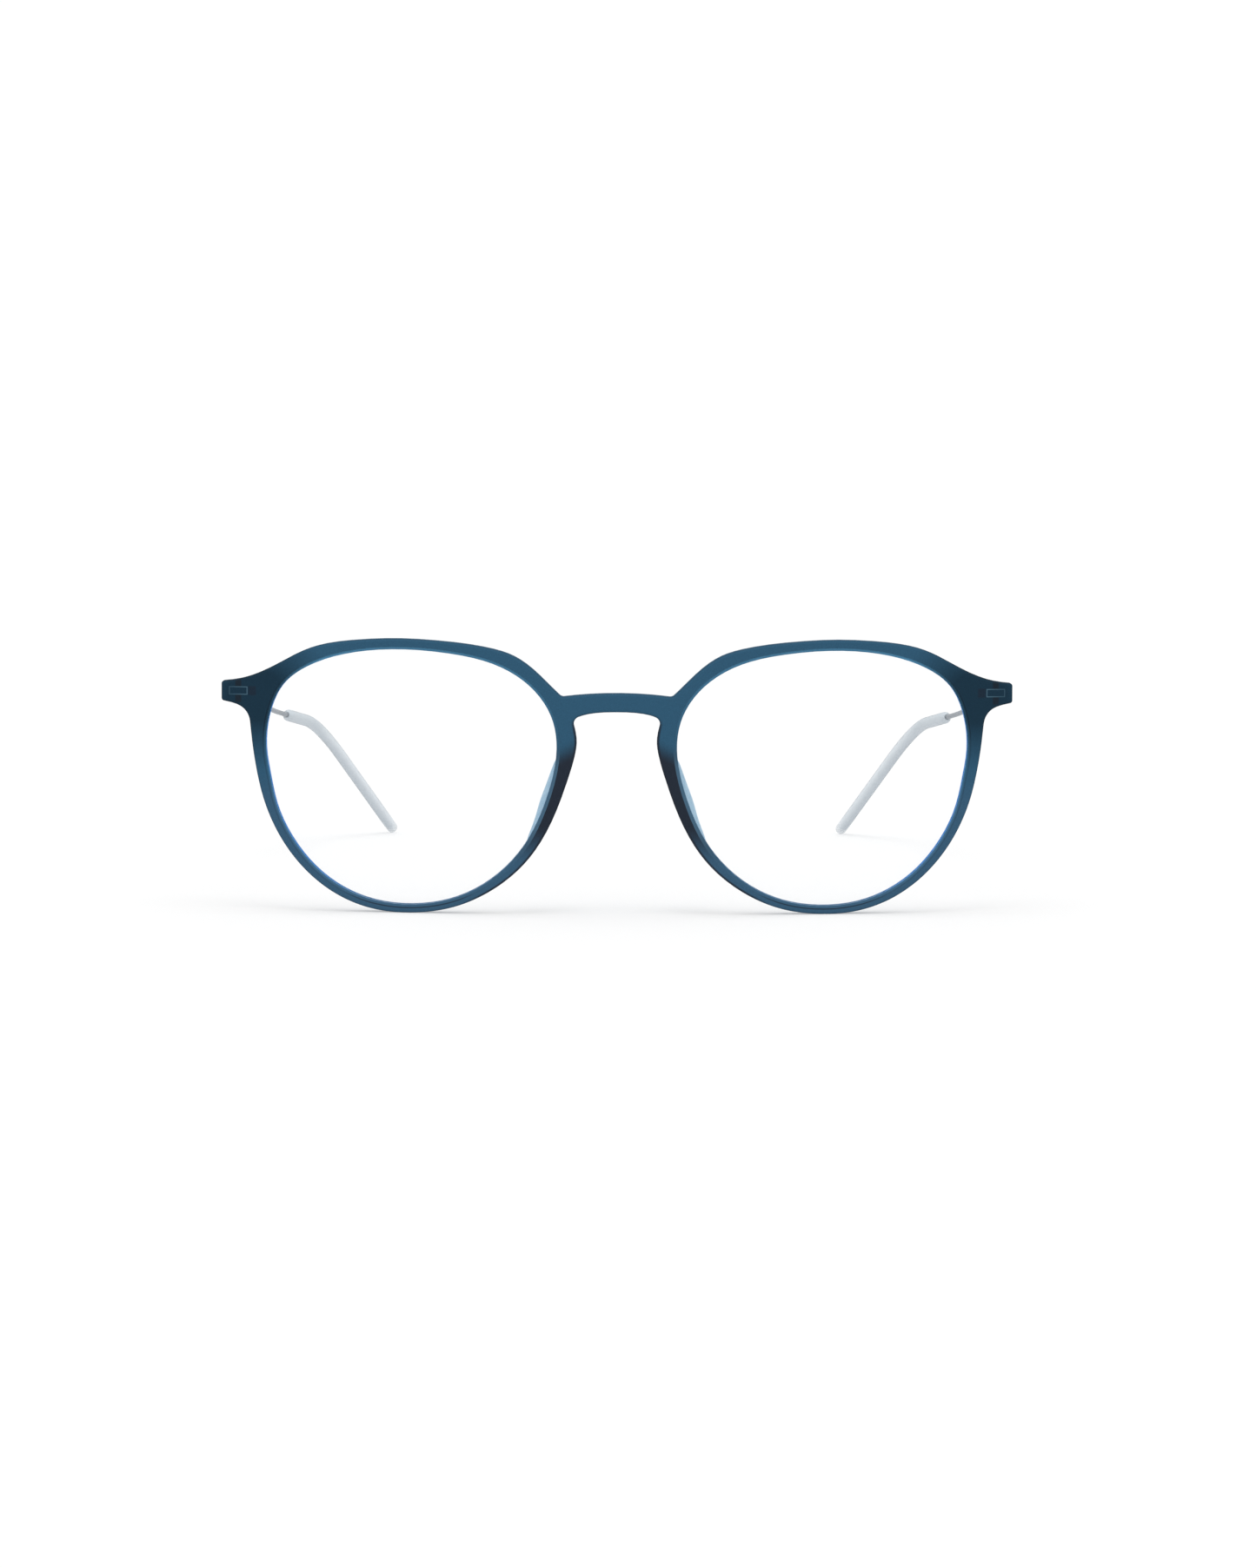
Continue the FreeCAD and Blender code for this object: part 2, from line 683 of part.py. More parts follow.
os.makedirs("parts", exist_ok=True)
for name, piece in nodes.items():
    piece.Shape.exportStep(f"parts/{name}.step")
    print(name, len(piece.Shape.Solids), "solid,", round(piece.Shape.Volume, 2), "mm3")
hingeText = ", ".join(str(round(value, 4)) for value in (hingePoint.x, hingePoint.y + frontY, hingePoint.z))
print("temple wire length", round(wirePath.Length, 1), "mm, right hinge at", hingeText)
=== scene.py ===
import math
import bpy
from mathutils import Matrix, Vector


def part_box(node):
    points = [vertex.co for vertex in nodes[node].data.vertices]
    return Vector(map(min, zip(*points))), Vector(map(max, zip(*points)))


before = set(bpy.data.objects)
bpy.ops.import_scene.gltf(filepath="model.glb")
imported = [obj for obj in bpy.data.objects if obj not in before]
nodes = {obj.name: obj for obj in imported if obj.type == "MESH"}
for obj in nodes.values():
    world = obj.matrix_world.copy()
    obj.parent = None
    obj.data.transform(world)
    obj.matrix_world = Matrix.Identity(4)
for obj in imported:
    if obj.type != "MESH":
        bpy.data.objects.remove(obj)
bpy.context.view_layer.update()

from types import SimpleNamespace

import bpy
from mathutils import Quaternion

mm = 0.001
white = (1, 1, 1, 1)
print("frame loaded:", len(nodes), "nodes")

# Places that the camera, the lamp and the colours go by, in metres, from the frame itself
meshShortfall = 0.12 * mm  # the front's mesh starts this far behind the sphere that its face follows
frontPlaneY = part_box("front_frame")[0][1] - meshShortfall
lensLow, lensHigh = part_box("lens_right")
lensX = (lensLow[0] + lensHigh[0]) / 2
lensZ = (lensLow[2] + lensHigh[2]) / 2
sleeveLow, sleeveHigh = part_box("temple_tip_right")


# A screen colour, 0 to 255, as the linear colour that a shader takes, by the sRGB curve
def tone(red, green, blue):
    linear = []
    for value in (red / 255, green / 255, blue / 255):
        linear.append(value / 12.92 if value < 0.04 else ((value + 0.055) / 1.055) ** 2.4)
    return (*linear, 1.0)


def evenTone(value):
    return (value, value, value, 1)


# Camera: low and straight on, as the photograph was taken
cameraSet = {
    "distance": 660 * mm,  # in front of the front
    "height": 79.97 * mm,
    "pitchDegrees": 4.972,
    "rollDegrees": 0.2045,
    "focalPixels": 4479.53,
    "pictureHeightPixels": 1804,
    "sensorMm": 36.0,
    "middleOffsetPixels": 13.05,  # the glasses sit this far left of the picture's middle
    "clip": (0.01, 50),  # metres, the nearest and the farthest that it sees
}


def addCamera(values):
    data = bpy.data.cameras.new("photoCamera")
    camera = bpy.data.objects.new("photoCamera", data)
    bpy.context.scene.collection.objects.link(camera)
    data.sensor_width = values["sensorMm"]
    data.lens = values["focalPixels"] / values["pictureHeightPixels"] * values["sensorMm"]
    data.shift_x = values["middleOffsetPixels"] / values["pictureHeightPixels"]
    data.clip_start, data.clip_end = values["clip"]
    tilt = Quaternion((1, 0, 0), math.radians(90 - values["pitchDegrees"]))
    roll = Quaternion((0, 0, 1), math.radians(values["rollDegrees"]))
    camera.rotation_mode = "QUATERNION"
    camera.rotation_quaternion = tilt @ roll
    camera.location = (0, frontPlaneY - values["distance"], values["height"])
    bpy.context.scene.camera = camera


# Small helpers for node trees: a value may be a number, a colour or another node's output
def feed(tree, socket, value):
    if isinstance(value, bpy.types.NodeSocket):
        tree.links.new(value, socket)
    else:
        socket.default_value = value


def calc(tree, operation, *values):
    node = tree.nodes.new("ShaderNodeMath")
    node.operation = operation
    for socket, value in zip(node.inputs, values):
        feed(tree, socket, value)
    return node.outputs["Value"]


def product(tree, result, *factors):
    for factor in factors:
        result = calc(tree, "MULTIPLY", result, factor)
    return result


def opposite(tree, share):
    return calc(tree, "SUBTRACT", 1, share)


def vector(tree, operation, *values):
    node = tree.nodes.new("ShaderNodeVectorMath")
    node.operation = operation
    for socket, value in zip(node.inputs, values):
        feed(tree, socket, value)
    return node.outputs["Value" if operation in ("DOT_PRODUCT", "LENGTH", "DISTANCE") else "Vector"]


def ramp(tree, value, start, end, low=0.0, high=1.0, kind="SMOOTHSTEP"):
    node = tree.nodes.new("ShaderNodeMapRange")
    node.interpolation_type = kind
    sockets = {"Value": value, "From Min": start, "From Max": end, "To Min": low, "To Max": high}
    for name, given in sockets.items():
        feed(tree, node.inputs[name], given)
    return node.outputs["Result"]


def mixed(tree, share, first, second, kind="MIX"):
    node = tree.nodes.new("ShaderNodeMix")
    node.data_type = "RGBA"
    node.blend_type = kind
    for place, given in ((0, share), (6, first), (7, second)):  # its sockets for colours
        feed(tree, node.inputs[place], given)
    return node.outputs[2]


def split(tree, value):
    node = tree.nodes.new("ShaderNodeSeparateXYZ")
    feed(tree, node.inputs[0], value)
    return node.outputs["X"], node.outputs["Y"], node.outputs["Z"]


def joined(tree, x, y, z):
    node = tree.nodes.new("ShaderNodeCombineXYZ")
    for socket, value in zip(node.inputs, (x, y, z)):
        feed(tree, socket, value)
    return node.outputs[0]


# A colour made darker or lighter by a number that changes over the surface
def shaded(tree, color, shade):
    return mixed(tree, 1.0, color, joined(tree, shade, shade, shade), "MULTIPLY")


noiseSpan = (0.3, 0.7)  # nearly all of a noise's values lie between these


def grain(tree, place, size, detail=2.0):
    node = tree.nodes.new("ShaderNodeTexNoise")
    feed(tree, node.inputs["Vector"], place)
    node.inputs["Scale"].default_value = size
    node.inputs["Detail"].default_value = detail
    return node.outputs["Fac"]


def bumped(tree, height, depth, strength):
    node = tree.nodes.new("ShaderNodeBump")
    node.inputs["Distance"].default_value = depth
    node.inputs["Strength"].default_value = strength
    feed(tree, node.inputs["Height"], height)
    return node.outputs["Normal"]


# From 0 where the surface faces the viewer to 1 where it is seen edge-on
def glancing(tree, blend):
    node = tree.nodes.new("ShaderNodeLayerWeight")
    node.inputs["Blend"].default_value = blend
    return node.outputs["Facing"]


# The place on the part in millimetres, and the surface's direction there
def places(tree):
    node = tree.nodes.new("ShaderNodeTexCoord")
    scaled = tree.nodes.new("ShaderNodeVectorMath")
    scaled.operation = "SCALE"
    tree.links.new(node.outputs["Object"], scaled.inputs[0])
    scaled.inputs["Scale"].default_value = 1 / mm
    return scaled.outputs["Vector"], node.outputs["Normal"]


def newMaterial(name):
    material = bpy.data.materials.new(name)
    material.use_nodes = True
    return material, material.node_tree, material.node_tree.nodes["Principled BSDF"]


# Studio: a white room, a white paper floor and one soft lamp overhead. The paper's own glow makes up for
# the lamp where it no longer reaches, so that the floor stays evenly white to the horizon.
studioSet = {
    "roomStrength": 1.02,
    "paperShade": 0.5,
    "paperWhite": 1.03,  # how bright the lit paper is, where 1 is the picture's white
    "floorSize": 8.0,  # metres
    "lampHeight": 330 * mm,
    "lampForward": 35 * mm,  # in front of the front
    "lampSize": 190 * mm,
    "lampShare": 0.31,  # its light on the floor right below, in the measure of roomStrength
}


def addStudio(values):
    scene = bpy.context.scene
    scene.view_settings.view_transform = "Standard"
    world = bpy.data.worlds.new("whiteRoom")
    world.use_nodes = True
    background = world.node_tree.nodes["Background"]
    background.inputs["Color"].default_value = white
    background.inputs["Strength"].default_value = values["roomStrength"]
    scene.world = world

    lampY = frontPlaneY - values["lampForward"]
    lamp = bpy.data.lights.new("topLamp", "AREA")
    lamp.shape = "DISK"
    lamp.size = values["lampSize"]
    lamp.energy = values["lampShare"] * math.pi ** 2 * values["lampHeight"] ** 2
    lampObject = bpy.data.objects.new("topLamp", lamp)
    lampObject.location = (0, lampY, values["lampHeight"])
    scene.collection.objects.link(lampObject)

    half = values["floorSize"] / 2
    corners = [(-half, -half, 0), (half, -half, 0), (half, half, 0), (-half, half, 0)]
    mesh = bpy.data.meshes.new("floor")
    mesh.from_pydata(corners, [], [(0, 1, 2, 3)])
    floor = bpy.data.objects.new("floor", mesh)
    scene.collection.objects.link(floor)

    paper, tree, shader = newMaterial("whitePaper")
    shader.inputs["Base Color"].default_value = evenTone(values["paperShade"])
    shader.inputs["Roughness"].default_value = 1.0
    shader.inputs["Specular IOR Level"].default_value = 0.0
    shader.inputs["Emission Color"].default_value = white
    # the lamp's light on the paper falls off with the fourth power of the cosine
    place = tree.nodes.new("ShaderNodeTexCoord").outputs["Object"]
    reach = vector(tree, "DISTANCE", place, (0, lampY, 0))
    squares = calc(tree, "MULTIPLY", reach, reach)
    high = values["lampHeight"] ** 2
    fall = calc(tree, "DIVIDE", high, calc(tree, "ADD", squares, high))
    lampLight = product(tree, fall, fall, values["lampShare"] * values["paperShade"])
    roomLight = values["paperShade"] * values["roomStrength"]
    lift = calc(tree, "SUBTRACT", values["paperWhite"] - roomLight, lampLight)
    feed(tree, shader.inputs["Emission Strength"], lift)
    mesh.materials.append(paper)


addCamera(cameraSet)
addStudio(studioSet)
print("camera and studio ready")


# Front: matte plastic dyed dark blue. It turns navy down the nose. Its colour also carries painted light
# and shade: painted shade where the hinges sit behind it, along the bevels and on the outer edges, painted
# light and highlights on the bevels, and painted light with a little glow in the walls of the lens openings.
# A pair says where a change starts and where it is complete.
# Heights, widths and depths are in millimetres, from the floor, the middle and the face. A tilt is 1 on the
# face and 0 on a side wall. A direction is how far up or outwards a place lies from the middle of its lens,
# as a share of its distance from there.
frontSet = {
    "blankRadius": 300.0,  # of the sphere that the front's face lies on
    "upperTone": tone(45, 83, 108),
    "lowerTone": tone(54, 87, 112),
    "upperHeights": (18, 25),
    "topDirection": (0.1, 0.8),
    "temporalDirection": (0.2, 0.8),
    "nasalDirection": (-0.35, -0.8),

    "navyTone": tone(36, 43, 54),
    "noseWidths": (27, 22),
    "navyHeights": (8.0, 15.5),
    "navyUpperEnd": (34.2, 30.2),  # a height that falls by navySlope for each millimetre outwards
    "navySlope": 0.5,

    "inwardTurn": (0.35, 0.55),  # how squarely a surface turns to the middle of its lens
    "bevelTilts": (0.95, 0.88),
    "bevelDepth": 0.6,
    # painted light on the bevel's top, and a painted highlight on the bevel beside the temples
    "bevelLightTone": tone(67, 117, 148),  # at the top, from litShare of its depth on
    "litShare": 0.6,
    "nasalBevelTone": tone(66, 96, 118),
    "bevelGlint": 1.5,  # how much brighter it gets beside the temples, from glintDepth on
    "glintDepth": 0.15,

    # painted shade along the bevel's outer edge
    "creaseShadeTone": tone(30, 42, 54),
    "creaseTilts": (0.995, 0.97),
    "creaseDepths": (0.26, 0.14),
    "creaseHeights": (28, 34),
    "creaseShares": (0.3, 0.75),  # how strong it is beside the lens, below and above those heights
    "bottomDirection": (-0.8, -0.97),
    "bottomCreaseShare": 0.85,

    "edgeShade": 0.7,
    "edgeTilts": (0.97, 0.6),
    "edgeDepths": (1.0, 0.5),
    "noseEdgeTilts": (1.0, 0.93),
    "noseEdgeHeights": (34.0, 31.5),
    "noseEdgeShare": 0.85,

    "hingeShade": 0.34,
    "hingeMiddle": (62.0, 37.0),
    "hingeReach": (5.0, 14.3),  # where its darkening starts to fade and where it ends
    "hingeFlatness": 1.15,  # how much shorter that reach is upwards than sideways

    # painted light in the walls of the openings, which glow a little beside the temples
    "sideWallLightTone": tone(88, 152, 214),
    "lowWallLightTone": tone(120, 152, 182),
    "wallStartDepths": (0.55, 0.65),
    "wallEndDepths": (2.55, 2.4),
    "wallTilts": (0.8, 0.95),  # at that depth, what faces forwards or backwards counts as wall too
    "wallMargin": (0.8, 0.3),  # beyond the lens's outer edge, so that the faces beside the hinge stay dark
    "wallGlow": 0.05,

    "grainSize": 5.0,
    "grainDetail": 3.0,
    "grainSpan": (0.25, 0.75),
    "grainShades": (0.9, 1.1),
    "grainDepth": 0.02 * mm,
    "grainStrength": 0.25,
    "cloudSize": 1.2,
    "roughness": (0.5, 0.62),
    "gloss": 0.05,
}


# What the front's colours go by: where each place of it lies and which way it faces
def measureFront(tree, values):
    here = SimpleNamespace()
    here.place, normal = places(tree)
    x, _, here.z = split(tree, here.place)
    here.outX = calc(tree, "ABSOLUTE", x)
    middle = (0, frontPlaneY / mm + values["blankRadius"], lensZ / mm)
    fromMiddle = vector(tree, "SUBTRACT", here.place, middle)
    here.depth = calc(tree, "SUBTRACT", values["blankRadius"], vector(tree, "LENGTH", fromMiddle))
    here.tilt = vector(tree, "DOT_PRODUCT", normal, vector(tree, "NORMALIZE", fromMiddle))

    # directions in the front's own plane: from the lens middle to here, and of the surface
    lensToX = calc(tree, "SUBTRACT", here.outX, lensX / mm)
    lensToZ = calc(tree, "SUBTRACT", here.z, lensZ / mm)
    away = vector(tree, "NORMALIZE", joined(tree, lensToX, 0, lensToZ))
    awayX, _, here.awayZ = split(tree, away)
    normalX, _, normalZ = split(tree, normal)
    normalOut = product(tree, normalX, calc(tree, "SIGN", x))
    turn = vector(tree, "NORMALIZE", joined(tree, normalOut, 0, normalZ))
    inward = product(tree, vector(tree, "DOT_PRODUCT", turn, away), -1)
    here.isInward = ramp(tree, inward, *values["inwardTurn"])
    here.isTop = ramp(tree, here.awayZ, *values["topDirection"])
    here.isTemporal = ramp(tree, awayX, *values["temporalDirection"])
    here.isNasal = ramp(tree, awayX, *values["nasalDirection"])

    slanted = calc(tree, "ADD", here.z, product(tree, here.outX, values["navySlope"]))
    here.isNose = ramp(tree, here.outX, *values["noseWidths"])
    here.isNavy = product(tree, here.isNose, ramp(tree, slanted, *values["navyUpperEnd"]),
                          ramp(tree, here.z, *values["navyHeights"]))
    return here


def paintFace(tree, values, here):
    isUpper = ramp(tree, here.z, *values["upperHeights"])
    color = mixed(tree, isUpper, values["lowerTone"], values["upperTone"])
    return mixed(tree, here.isNavy, color, values["navyTone"])


# The bevel round each opening: painted light at the top, a painted highlight beside the temples and blue
# beside the nose
def paintBevel(tree, values, here, color):
    bevel = product(tree, here.isInward, ramp(tree, here.tilt, *values["bevelTilts"]))
    deep = ramp(tree, here.depth, 0.0, values["litShare"] * values["bevelDepth"])
    color = mixed(tree, product(tree, here.isTop, deep, bevel), color, values["bevelLightTone"])
    # painted highlight: the bevel beside the temples is made brighter
    lift = ramp(tree, here.depth, values["glintDepth"], values["bevelDepth"], 1.0, values["bevelGlint"])
    lift = mixed(tree, product(tree, bevel, here.isTemporal), white, joined(tree, lift, lift, lift))
    color = mixed(tree, 1.0, color, lift, "MULTIPLY")
    return mixed(tree, product(tree, bevel, here.isNasal, here.isNavy), color, values["nasalBevelTone"])


# Painted shade: a dark line along the bevel's outer edge, near the hinge, beside the lens and at the bottom
def paintCreaseShade(tree, values, here, color):
    beside = ramp(tree, here.z, *values["creaseHeights"], *values["creaseShares"])
    bottom = ramp(tree, here.awayZ, *values["bottomDirection"], 0, values["bottomCreaseShare"])
    crease = product(tree, here.isInward,
                     ramp(tree, here.tilt, *values["creaseTilts"]),
                     ramp(tree, here.depth, *values["creaseDepths"]),
                     opposite(tree, calc(tree, "MAXIMUM", here.isTop, here.isNasal)),
                     calc(tree, "MAXIMUM", beside, bottom))
    return mixed(tree, crease, color, values["creaseShadeTone"])


# Painted shade darkens the outer edges, and they are navy on the nose
def paintEdgeShade(tree, values, here, color):
    isOuter = opposite(tree, here.isInward)
    edge = product(tree, ramp(tree, here.tilt, *values["edgeTilts"]), isOuter,
                   ramp(tree, here.depth, *values["edgeDepths"]))
    color = mixed(tree, edge, color, evenTone(values["edgeShade"]), "MULTIPLY")
    noseEdge = product(tree, ramp(tree, here.tilt, *values["noseEdgeTilts"]),
                       ramp(tree, here.z, *values["noseEdgeHeights"]),
                       here.isNose, isOuter, values["noseEdgeShare"])
    return mixed(tree, noseEdge, color, values["navyTone"])


# The hinge behind the end piece darkens it
def paintHingeShade(tree, values, here, color):
    middleX, middleZ = values["hingeMiddle"]
    above = product(tree, calc(tree, "SUBTRACT", here.z, middleZ), values["hingeFlatness"])
    beside = calc(tree, "SUBTRACT", here.outX, middleX)
    reach = vector(tree, "LENGTH", joined(tree, beside, 0, above))
    shade = ramp(tree, reach, *values["hingeReach"], values["hingeShade"], 1, "LINEAR")
    return shaded(tree, color, shade)


# The hinge seen through the end piece, painted on its face: a thin pale outline of the eye with a painted
# highlight that is stronger towards the lens, the dark pin above and below it, and painted shade in the slot
# beside it
ghostSet = {
    "tilts": (0.7, 0.9),  # it shows on the face alone
    "middle": (65.05, 37.8),  # millimetres, of the outline
    "half": (1.55, 0.63),
    "line": 0.11,
    "lineCore": 0.3,  # the share of the line's width that is not soft
    "lineShares": (0.5, 1.0),  # how strong it is at its outer end and at the one towards the lens
    # the outline's tone: the eye's edge, with a painted highlight
    "tone": tone(70, 98, 114),
    "pinTone": tone(27, 38, 48),
    "pinHalf": 0.5,
    "pinSoft": (0.15, -0.1),  # beyond pinHalf, where its sides start and are full
    "pinStart": (0.0, 0.2),  # millimetres above and below the outline
    "pinEnd": (1.6, 1.1),
    # painted shade in the slot
    "slotShadeTone": tone(27, 41, 55),
    "slotReach": 2.9,  # of the slot's far end, towards the lens
    "slotSoft": (0.5, 0.4),  # at the outline and at the far end
    "slotEdge": (0.3, 0.0),  # above and below the outline
}


def paintGhost(tree, values, here, color):
    halfX, halfZ = values["half"]
    sideways = calc(tree, "SUBTRACT", here.outX, values["middle"][0])
    upwards = calc(tree, "SUBTRACT", here.z, values["middle"][1])
    fromSides = calc(tree, "ABSOLUTE", sideways)
    overX = calc(tree, "SUBTRACT", fromSides, halfX)
    overZ = calc(tree, "SUBTRACT", calc(tree, "ABSOLUTE", upwards), halfZ)
    fromLine = calc(tree, "ABSOLUTE", calc(tree, "MAXIMUM", overX, overZ))
    outline = product(tree, ramp(tree, fromLine, values["line"], values["lineCore"] * values["line"]),
                      ramp(tree, sideways, halfX, -halfX, *values["lineShares"]))

    pinSides = [values["pinHalf"] + soft for soft in values["pinSoft"]]
    pin = product(tree, ramp(tree, fromSides, *pinSides), ramp(tree, overZ, *values["pinStart"]),
                  ramp(tree, overZ, *values["pinEnd"]))
    nearSoft, farSoft = values["slotSoft"]
    slot = product(tree, ramp(tree, sideways, -halfX, -halfX - nearSoft),
                   ramp(tree, sideways, -values["slotReach"] - farSoft, -values["slotReach"]),
                   ramp(tree, overZ, *values["slotEdge"]))
    onFace = ramp(tree, here.tilt, *values["tilts"])
    color = mixed(tree, product(tree, pin, onFace), color, values["pinTone"])
    color = mixed(tree, product(tree, slot, onFace), color, values["slotShadeTone"])
    return mixed(tree, product(tree, outline, onFace), color, values["tone"])


# Painted light: the walls of the openings behind the bevel are painted a bright blue, and beside the temples
# they glow a little, standing in for light let in through the plastic
def paintWallLight(tree, values, here, color, shader):
    lensEnd = lensHigh[0] / mm
    wall = product(tree, ramp(tree, here.depth, *values["wallStartDepths"]),
                   ramp(tree, here.depth, *values["wallEndDepths"]),
                   calc(tree, "MAXIMUM", here.isInward,
                        ramp(tree, calc(tree, "ABSOLUTE", here.tilt), *values["wallTilts"])),
                   ramp(tree, here.outX, *[lensEnd + margin for margin in values["wallMargin"]]))
    wallLightTone = mixed(tree, here.isTemporal, values["lowWallLightTone"], values["sideWallLightTone"])
    feed(tree, shader.inputs["Emission Color"], wallLightTone)
    feed(tree, shader.inputs["Emission Strength"], product(tree, wall, here.isTemporal, values["wallGlow"]))
    return mixed(tree, wall, color, wallLightTone)


def makeFront(values):
    material, tree, shader = newMaterial("matteBluePlastic")
    here = measureFront(tree, values)
    color = paintFace(tree, values, here)
    for paint in (paintBevel, paintCreaseShade, paintEdgeShade, paintHingeShade):
        color = paint(tree, values, here, color)
    color = paintGhost(tree, ghostSet, here, color)
    color = paintWallLight(tree, values, here, color, shader)

    # moulded grain
    fine = grain(tree, here.place, values["grainSize"], values["grainDetail"])
    color = shaded(tree, color, ramp(tree, fine, *values["grainSpan"], *values["grainShades"], "LINEAR"))
    feed(tree, shader.inputs["Base Color"], color)
    cloud = grain(tree, here.place, values["cloudSize"])
    feed(tree, shader.inputs["Roughness"], ramp(tree, cloud, *noiseSpan, *values["roughness"], "LINEAR"))
    feed(tree, shader.inputs["Normal"], bumped(tree, fine, values["grainDepth"], values["grainStrength"]))
    shader.inputs["Specular IOR Level"].default_value = values["gloss"]
    return material


# Lenses: clear and polished, seen mostly by their reflection at a glancing angle
lensSet = {
    "clearTone": tone(235, 245, 252),
    "alpha": (0.035, 0.45),  # seen from the front, and edge-on
    "alphaFrom": 0.35,  # how glancing the view is where that starts to change
    "blend": 0.5,  # how early a view counts as glancing, here and below
    "roughness": (0.03, 0.06),
    "smearSize": 0.25,
    "smearSpan": (0.35, 0.7),
    "coat": 0.5,
}


def makeLens(values):
    material, tree, shader = newMaterial("clearLens")
    place = places(tree)[0]
    alpha = ramp(tree, glancing(tree, values["blend"]), values["alphaFrom"], 1.0, *values["alpha"])
    feed(tree, shader.inputs["Alpha"], alpha)
    shader.inputs["Base Color"].default_value = values["clearTone"]
    smear = grain(tree, place, values["smearSize"])
    feed(tree, shader.inputs["Roughness"], ramp(tree, smear, *values["smearSpan"], *values["roughness"]))
    shader.inputs["Coat Weight"].default_value = values["coat"]
    return material


# The finish of both silicones: an uneven roughness and a fine grain
def addSiliconeFinish(tree, shader, place, values):
    rough = ramp(tree, grain(tree, place, values["roughSize"]), *noiseSpan, *values["roughness"])
    feed(tree, shader.inputs["Roughness"], rough)
    fine = grain(tree, place, values["grainSize"])
    feed(tree, shader.inputs["Normal"], bumped(tree, fine, values["grainDepth"], values["grainStrength"]))
    shader.inputs["Specular IOR Level"].default_value = values["gloss"]


# Nose pads: soft pale blue silicone
padSet = {
    "tone": tone(126, 172, 200),
    "cloudTone": tone(172, 202, 220),
    "cloudShares": (0.0, 0.35),
    "cloudSize": 0.5,
    "alpha": (0.9, 0.97),  # seen from the front, and at a glancing angle
    "alphaSpan": (0.2, 0.9),  # how glancing the view is where that change starts and ends
    "blend": 0.4,
    "roughSize": 3.0,
    "roughness": (0.38, 0.5),
    "grainSize": 6.0,
    "grainDepth": 0.01 * mm,
    "grainStrength": 0.2,
    "gloss": 0.3,
}


def makePad(values):
    material, tree, shader = newMaterial("paleBlueSilicone")
    place = places(tree)[0]
    cloud = ramp(tree, grain(tree, place, values["cloudSize"]), *noiseSpan, *values["cloudShares"])
    color = mixed(tree, cloud, values["tone"], values["cloudTone"])
    feed(tree, shader.inputs["Base Color"], color)
    alpha = ramp(tree, glancing(tree, values["blend"]), *values["alphaSpan"], *values["alpha"])
    feed(tree, shader.inputs["Alpha"], alpha)
    addSiliconeFinish(tree, shader, place, values)
    return material


# Sleeves: frosted clear silicone, soft at the edges. Its colour carries painted light and shade: paler where
# it faces up and inwards, darker underneath, and dimmer on its upper side before the bend
sleeveSet = {
    # painted light and shade: the under tone is the shaded side, the upper tones the lit side
    "shadedUnderTone": tone(180, 188, 195),
    "upperTone": tone(212, 218, 223),
    "shadedFrontTone": tone(186, 194, 200),  # of its upper side before the bend
    "upperSpan": (-1.0, 1.3),  # how far up and inwards it faces, from the under tone to the upper one
    "cloudShift": (-0.12, 0.12),
    "cloudSize": 1.1,
    "coreAlpha": 1.0,
    "edgeAlpha": 0.5,
    "endAlpha": 0.4,
    "endLength": (3.4, 1.5),  # how far from its end the sleeve starts to clear, and where it is clearest
    "bendPlace": (33.0, 45.0),  # millimetres back from the origin, over which the sleeve turns down
    # how glancing the view is where its edge starts to fade, before and after the bend
    "softFrom": (0.86, 0.5),
    "blend": 0.5,
    "roughSize": 4.0,
    "roughness": (0.42, 0.55),
    "grainSize": 2.5,
    "grainDepth": 0.01 * mm,
    "grainStrength": 0.1,
    "gloss": 0.3,
}


def makeSleeve(values):
    material, tree, shader = newMaterial("frostedSilicone")
    place, normal = places(tree)
    x, y, _ = split(tree, place)
    normalX, _, normalZ = split(tree, normal)
    outward = product(tree, calc(tree, "SIGN", x), normalX)
    upward = calc(tree, "SUBTRACT", normalZ, outward)
    cloud = ramp(tree, grain(tree, place, values["cloudSize"]), *noiseSpan, *values["cloudShift"])
    # painted light and shade by which way the surface faces
    isUpper = ramp(tree, calc(tree, "ADD", upward, cloud), *values["upperSpan"])
    pastBend = ramp(tree, y, *values["bendPlace"])
    upperTone = mixed(tree, pastBend, values["shadedFrontTone"], values["upperTone"])
    feed(tree, shader.inputs["Base Color"], mixed(tree, isUpper, values["shadedUnderTone"], upperTone))

    softFrom = ramp(tree, y, *values["bendPlace"], *values["softFrom"])
    isGlancing = glancing(tree, values["blend"])
    soft = ramp(tree, isGlancing, softFrom, 1.0, values["coreAlpha"], values["edgeAlpha"])
    endPlaces = [sleeveHigh[1] / mm - length for length in values["endLength"]]
    nearEnd = ramp(tree, y, *endPlaces, 1.0, values["endAlpha"])
    feed(tree, shader.inputs["Alpha"], product(tree, soft, nearEnd))
    addSiliconeFinish(tree, shader, place, values)
    return material
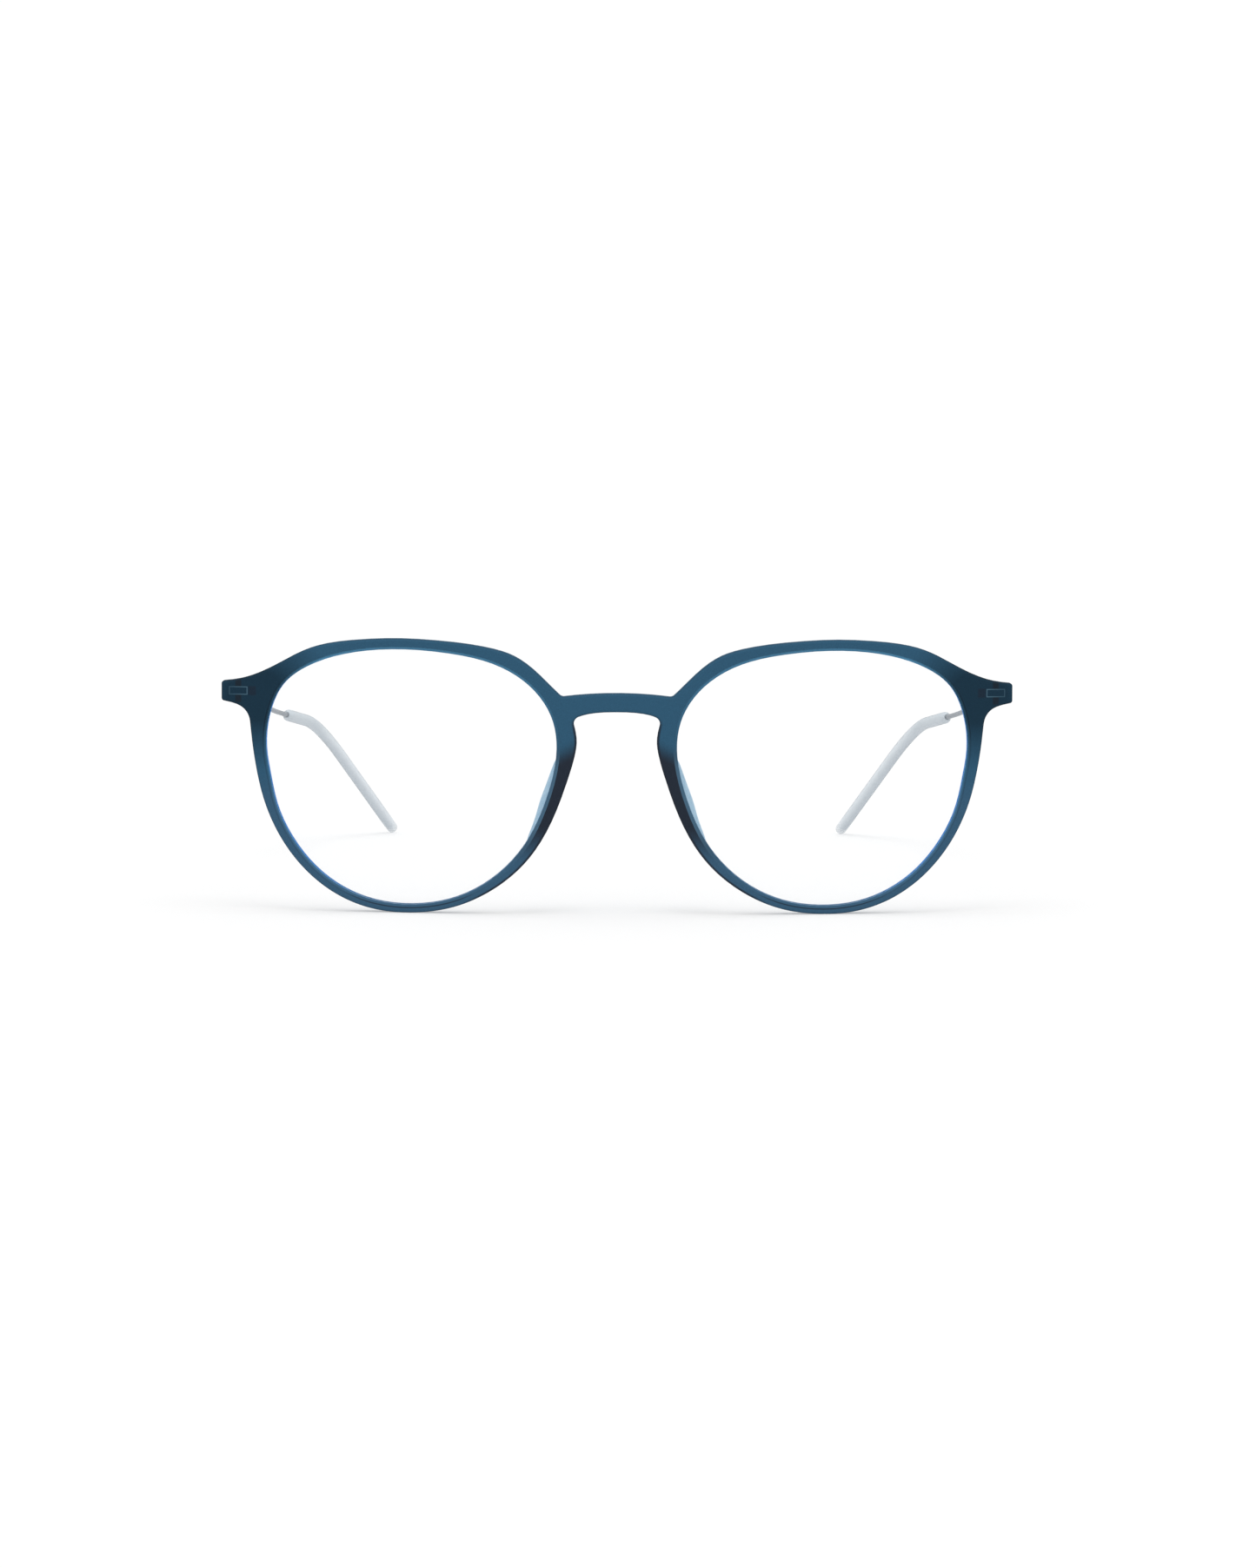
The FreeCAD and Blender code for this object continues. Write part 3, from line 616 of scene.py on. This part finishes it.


# Wires, hinge eyes and pins: satin titanium, brushed along the temples. Inside the sleeve the wire is
# painted pale and given a painted glow.
brushSet = {
    "stretch": (6, 0.5, 6),
    "size": 2.0,
    "detail": 3.0,
    "shades": (0.9, 1.1),
    "roughnessSpread": 0.06,
    "depth": 0.01 * mm,
    "strength": 0.15,
}
wireSet = {
    "tone": tone(124, 131, 139),
    "paleTone": tone(196, 204, 210),
    "endTone": tone(228, 232, 236),
    "paleLength": (0.2, 1.6),  # how far inside the sleeve it starts to pale, and where it is pale
    "endLength": (3.6, 1.4),  # how far from the sleeve's end it turns to the end tone
    # painted glow of the wire inside the sleeve
    "glow": 0.6,
    "roughness": 0.38,
}
hingeSet = {"tone": tone(104, 110, 117), "roughness": 0.34}


# The wire inside its sleeve: no metal to be seen, but a pale core with a painted glow, so that the sleeve's
# shade does not blacken it
def paleInSleeve(tree, shader, y, values, color):
    palePlaces = [sleeveLow[1] / mm + length for length in values["paleLength"]]
    endPlaces = [sleeveHigh[1] / mm - length for length in values["endLength"]]
    inSleeve = ramp(tree, y, *palePlaces)
    nearEnd = ramp(tree, y, *endPlaces)
    color = mixed(tree, inSleeve, color, mixed(tree, nearEnd, values["paleTone"], values["endTone"]))
    feed(tree, shader.inputs["Metallic"], opposite(tree, inSleeve))
    feed(tree, shader.inputs["Emission Color"], color)
    feed(tree, shader.inputs["Emission Strength"], product(tree, inSleeve, values["glow"]))
    return color


def makeMetal(name, values, brush):
    material, tree, shader = newMaterial(name)
    place = places(tree)[0]
    brushed = grain(tree, vector(tree, "MULTIPLY", place, brush["stretch"]), brush["size"], brush["detail"])
    color = shaded(tree, values["tone"], ramp(tree, brushed, *noiseSpan, *brush["shades"], "LINEAR"))
    shader.inputs["Metallic"].default_value = 1.0
    if "paleTone" in values:
        color = paleInSleeve(tree, shader, split(tree, place)[1], values, color)
    feed(tree, shader.inputs["Base Color"], color)
    spread = brush["roughnessSpread"]
    rough = ramp(tree, brushed, *noiseSpan, values["roughness"] - spread, values["roughness"] + spread)
    feed(tree, shader.inputs["Roughness"], rough)
    feed(tree, shader.inputs["Normal"], bumped(tree, brushed, brush["depth"], brush["strength"]))
    return material


def dress(node, material):
    for slot in nodes[node].material_slots:
        slot.material = material


dress("front_frame", makeFront(frontSet))
pairs = {
    "lens": makeLens(lensSet),
    "nose_pad": makePad(padSet),
    "temple_tip": makeSleeve(sleeveSet),
    "temple_wire": makeMetal("satinWire", wireSet, brushSet),
    "hinge_eye": makeMetal("satinHinge", hingeSet, brushSet),
}
pairs["hinge_pin"] = pairs["hinge_eye"]
for piece, material in pairs.items():
    for side in ("left", "right"):
        dress(piece + "_" + side, material)
print("materials assigned")
